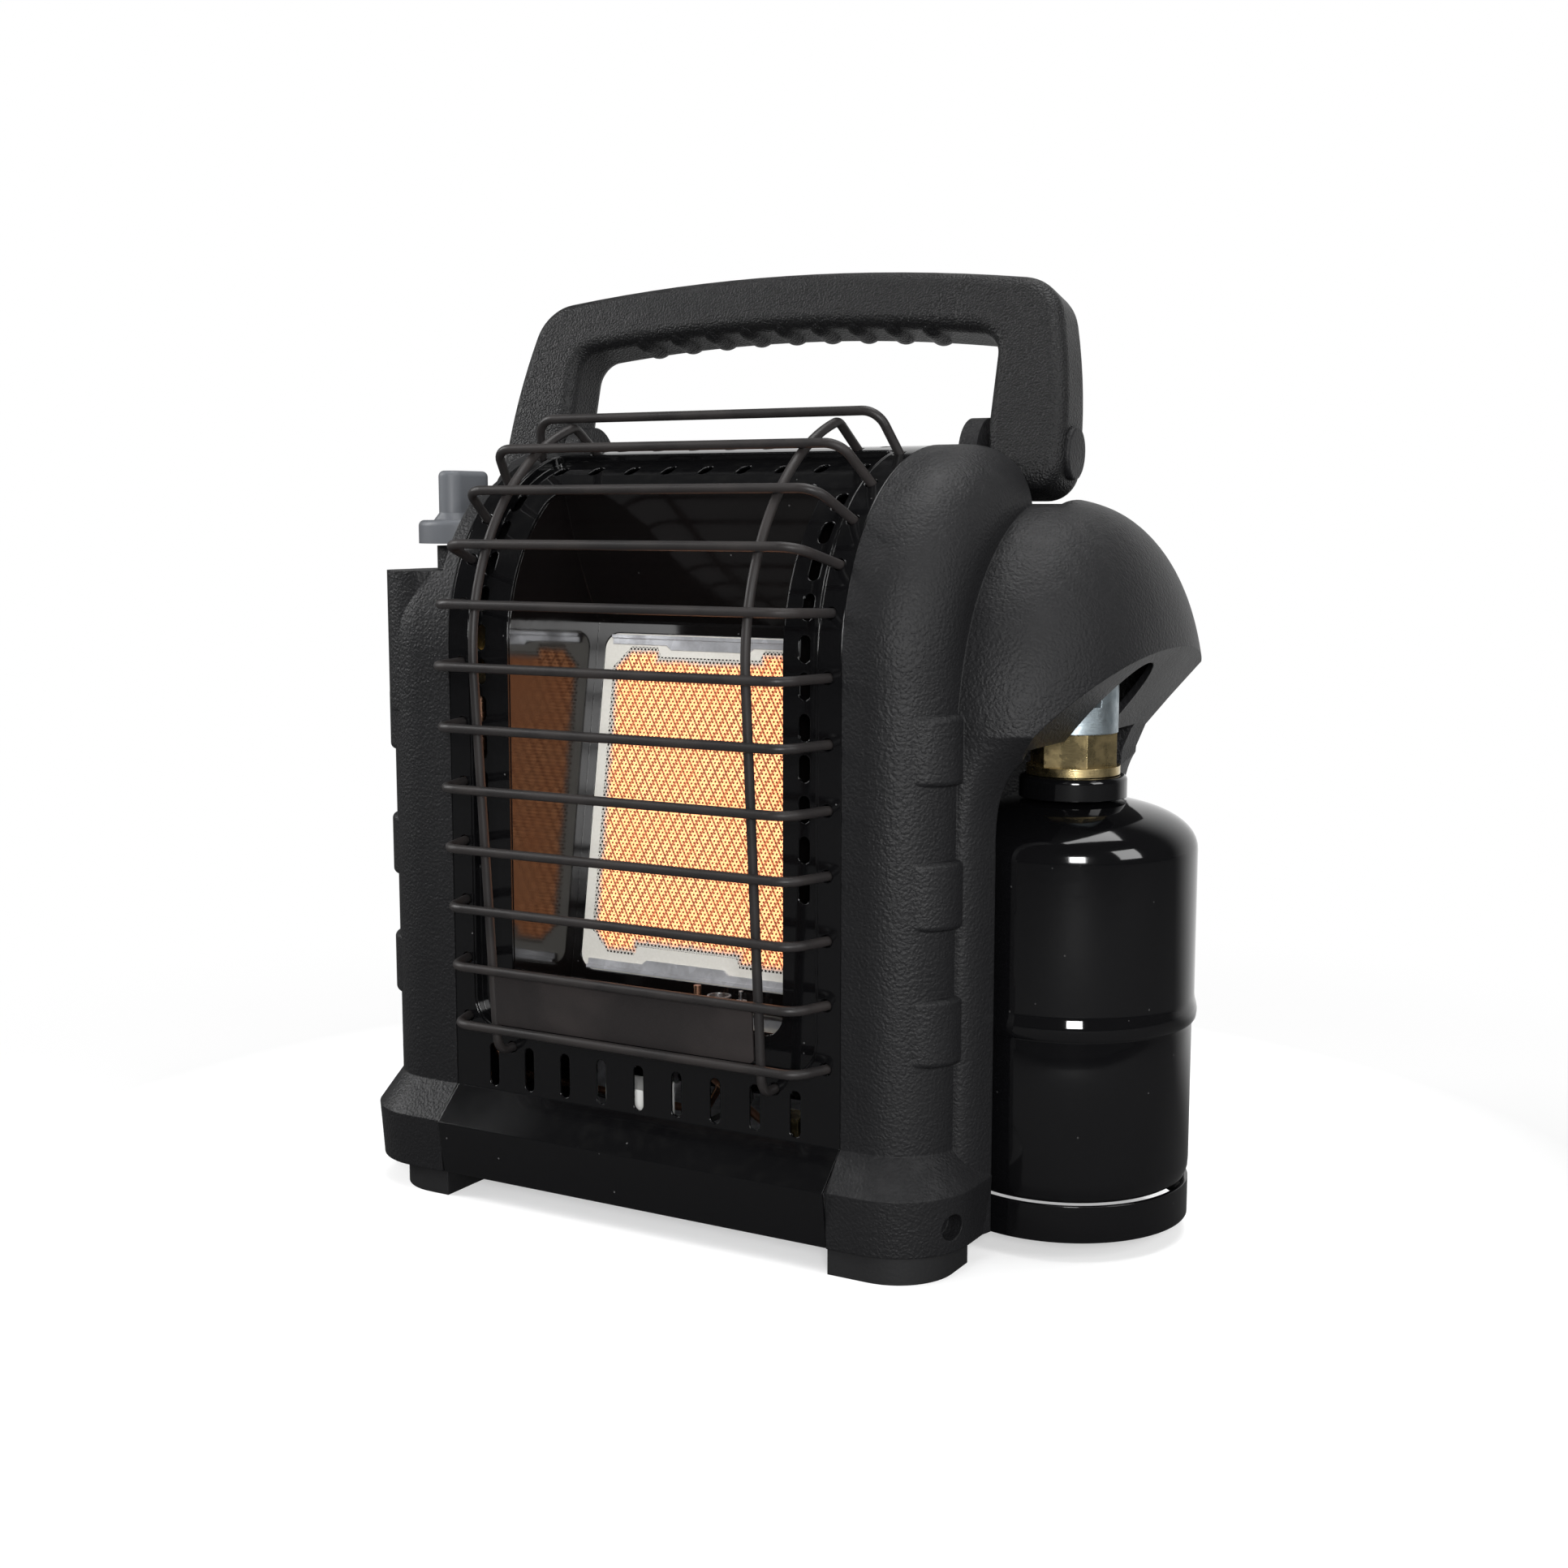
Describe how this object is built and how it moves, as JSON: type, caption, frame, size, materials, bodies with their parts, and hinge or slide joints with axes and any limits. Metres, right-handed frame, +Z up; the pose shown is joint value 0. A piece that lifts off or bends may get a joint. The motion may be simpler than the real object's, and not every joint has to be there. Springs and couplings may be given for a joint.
{
  "type": "portable propane heater",
  "caption": "Portable radiant heater with a wire guard, a folding carrying handle, a control knob and a screw-on fuel cylinder under a side dome.",
  "frame": {"origin": "centre of the overall box at the level of the feet's soles, with the heater standing", "axes": "+Z up, +X to the side that carries the cylinder, +Y from the front to the back"},
  "size_m": [0.3414, 0.1941, 0.3899],
  "materials": {
    "black_enamel": "gloss black enamel",
    "chamber_enamel": "gloss black enamel, heat worn",
    "galvanised": "galvanised sheet",
    "guard_wire": "satin black paint",
    "ceramic": "porous honeycomb ceramic",
    "gasket": "woven fibre",
    "housing_plastic": "fine leather grain",
    "handle_plastic": "coarse sand texture",
    "knob_plastic": "satin grey",
    "rubber": "matte",
    "steel": "plated",
    "zinc": "die cast zinc, mottled",
    "brass": "tarnished",
    "white_plastic": "plain",
    "lead_jacket": "plain",
    "copper_tube": "drawn tube",
    "cylinder_paint": "gloss black paint"
  },
  "bodies": {
    "heater": {"front_panel": "black_enamel", "rear_panel": "black_enamel", "base_pan": "galvanised", "slotted_surround": "black_enamel", "reflector": "chamber_enamel", "burner_tile": "ceramic", "tile_gasket": "gasket", "burner_plenum": "galvanised", "tile_bracket_upper": "galvanised", "tile_bracket_lower": "galvanised", "guard_bars": "guard_wire", "guard_uprights": "guard_wire", "guard_plate": "guard_wire", "left_housing": "housing_plastic", "right_housing": "housing_plastic", "rubber_feet": "rubber", "handle_pivot_pins": "steel", "gas_valve_body": "brass", "valve_bracket": "galvanised", "valve_bracket_screws": "steel", "piezo_igniter": "white_plastic", "venturi_tube": "galvanised", "burner_orifice": "brass", "orifice_bracket": "galvanised", "burner_tube": "copper_tube", "pilot_bracket": "galvanised", "pilot_burner": "steel", "pilot_tube": "copper_tube", "thermocouple": "copper_tube", "lead_junction": "brass", "switch_lead": "lead_jacket", "tip_over_switch": "white_plastic", "spark_electrode": "steel", "ignition_lead": "lead_jacket", "swivel_fitting": "brass", "swivel_bracket": "galvanised", "supply_tube": "copper_tube", "rear_panel_screws": "steel", "base_screws": "steel"},
    "handle": {"handle_front_shell": "handle_plastic", "handle_rear_shell": "handle_plastic", "handle_screws": "steel", "handle_pivot_caps": "housing_plastic"},
    "valve_stem": {"valve_stem": "steel"},
    "control_knob": {"control_knob": "knob_plastic"},
    "regulator": {"regulator_body": "zinc", "regulator_cap": "zinc", "regulator_inlet_nut": "brass", "inlet_seal": "rubber"},
    "cylinder": {"cylinder_shell": "cylinder_paint", "cylinder_foot_ring": "cylinder_paint", "cylinder_collar": "cylinder_paint", "cylinder_valve": "brass"}
  },
  "joints": [
    {"name": "handle_fold", "type": "hinge", "parent": "heater", "child": "handle", "pos_m": [-0.02765, 0.0392, 0.3115], "axis": [1, 0, 0], "range_deg": [-75, 20]},
    {"name": "knob_turn", "type": "hinge", "parent": "heater", "child": "valve_stem", "pos_m": [-0.14265, -0.0308, 0.26], "axis": [0, 0, -1], "range_deg": [0, 135]},
    {"name": "knob_push", "type": "slide", "parent": "valve_stem", "child": "control_knob", "axis": [0, 0, -1], "range_m": [0, 0.006], "stiffness_N_per_m": 900, "springref_m": -0.002},
    {"name": "regulator_swing", "type": "hinge", "parent": "heater", "child": "regulator", "pos_m": [0.11235, 0.0222, 0.236], "axis": [0, -1, 0], "range_deg": [0, 30]},
    {"name": "cylinder_turn", "type": "hinge", "parent": "regulator", "child": "cylinder", "pos_m": [0.11985, 0.0222, 0.18], "axis": [0, 0, 1], "continuous": true}
  ]
}
